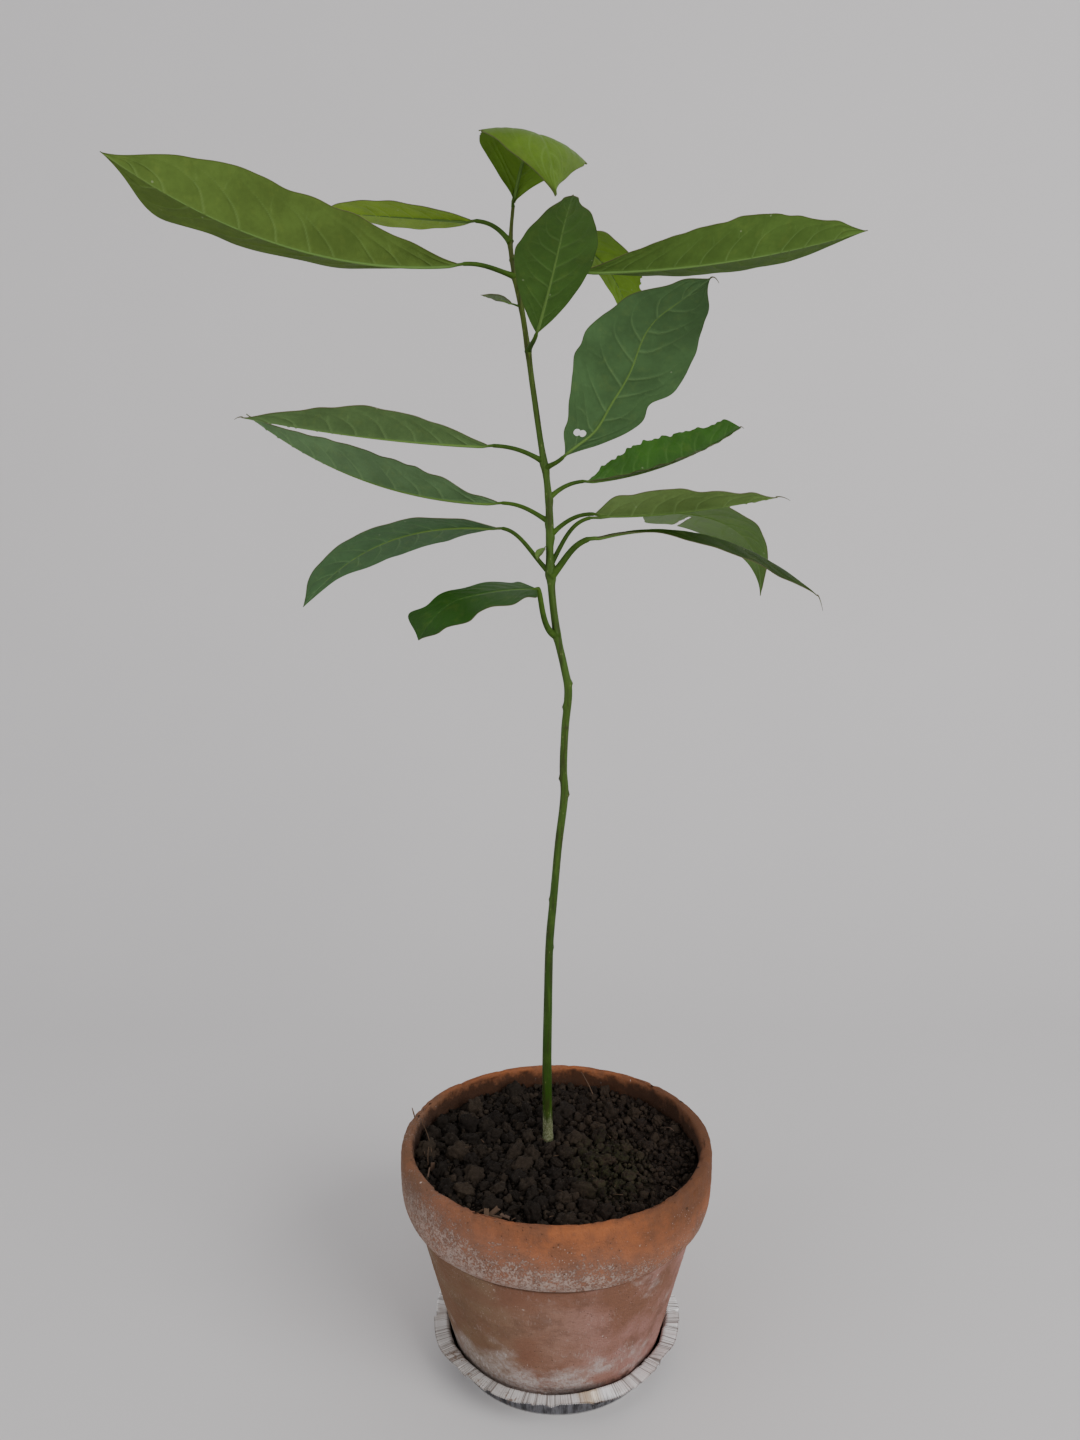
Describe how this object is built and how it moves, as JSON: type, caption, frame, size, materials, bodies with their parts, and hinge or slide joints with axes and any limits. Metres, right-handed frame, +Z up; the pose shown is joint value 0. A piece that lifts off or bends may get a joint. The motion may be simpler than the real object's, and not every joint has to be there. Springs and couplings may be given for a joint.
{
  "type": "avocado tree in a pot",
  "caption": "Young avocado tree: one slender green stem with long drooping leaves at its top, in a soil-filled clay pot that stands in a crimped foil pan.",
  "frame": {"origin": "centre of the foil pan's flat underside, on the level surface that the plant stands on", "axes": "+Z up along the stem, +X to the right and +Y away in the view from the front"},
  "size_m": [0.4503, 0.2391, 0.8006],
  "materials": {
    "foil": "satin",
    "clay": "matte",
    "soil": "matte",
    "stem": "satin",
    "leaf": "satin",
    "young_leaf": "satin"
  },
  "bodies": {
    "root": {"foil_pan": "foil", "clay_pot": "clay", "soil": "soil", "stem": "stem", "leaf_tip_curled": "young_leaf", "leaf_top_left_short": "young_leaf", "leaf_top_right_folded": "young_leaf", "leaf_top_left_long": "leaf", "leaf_top_right_long": "leaf", "leaf_sliver": "leaf", "leaf_front_upper": "leaf", "leaf_left_middle_front": "leaf", "leaf_front_right_holed": "leaf", "leaf_right_middle_wavy": "leaf", "leaf_left_middle_back": "leaf", "leaf_right_middle_scarred": "leaf", "leaf_bud": "young_leaf", "leaf_right_lower_drooping": "leaf", "leaf_left_lower_arched": "leaf", "leaf_right_lower_narrow": "leaf", "leaf_left_lowest_glossy": "leaf"}
  },
  "joints": []
}
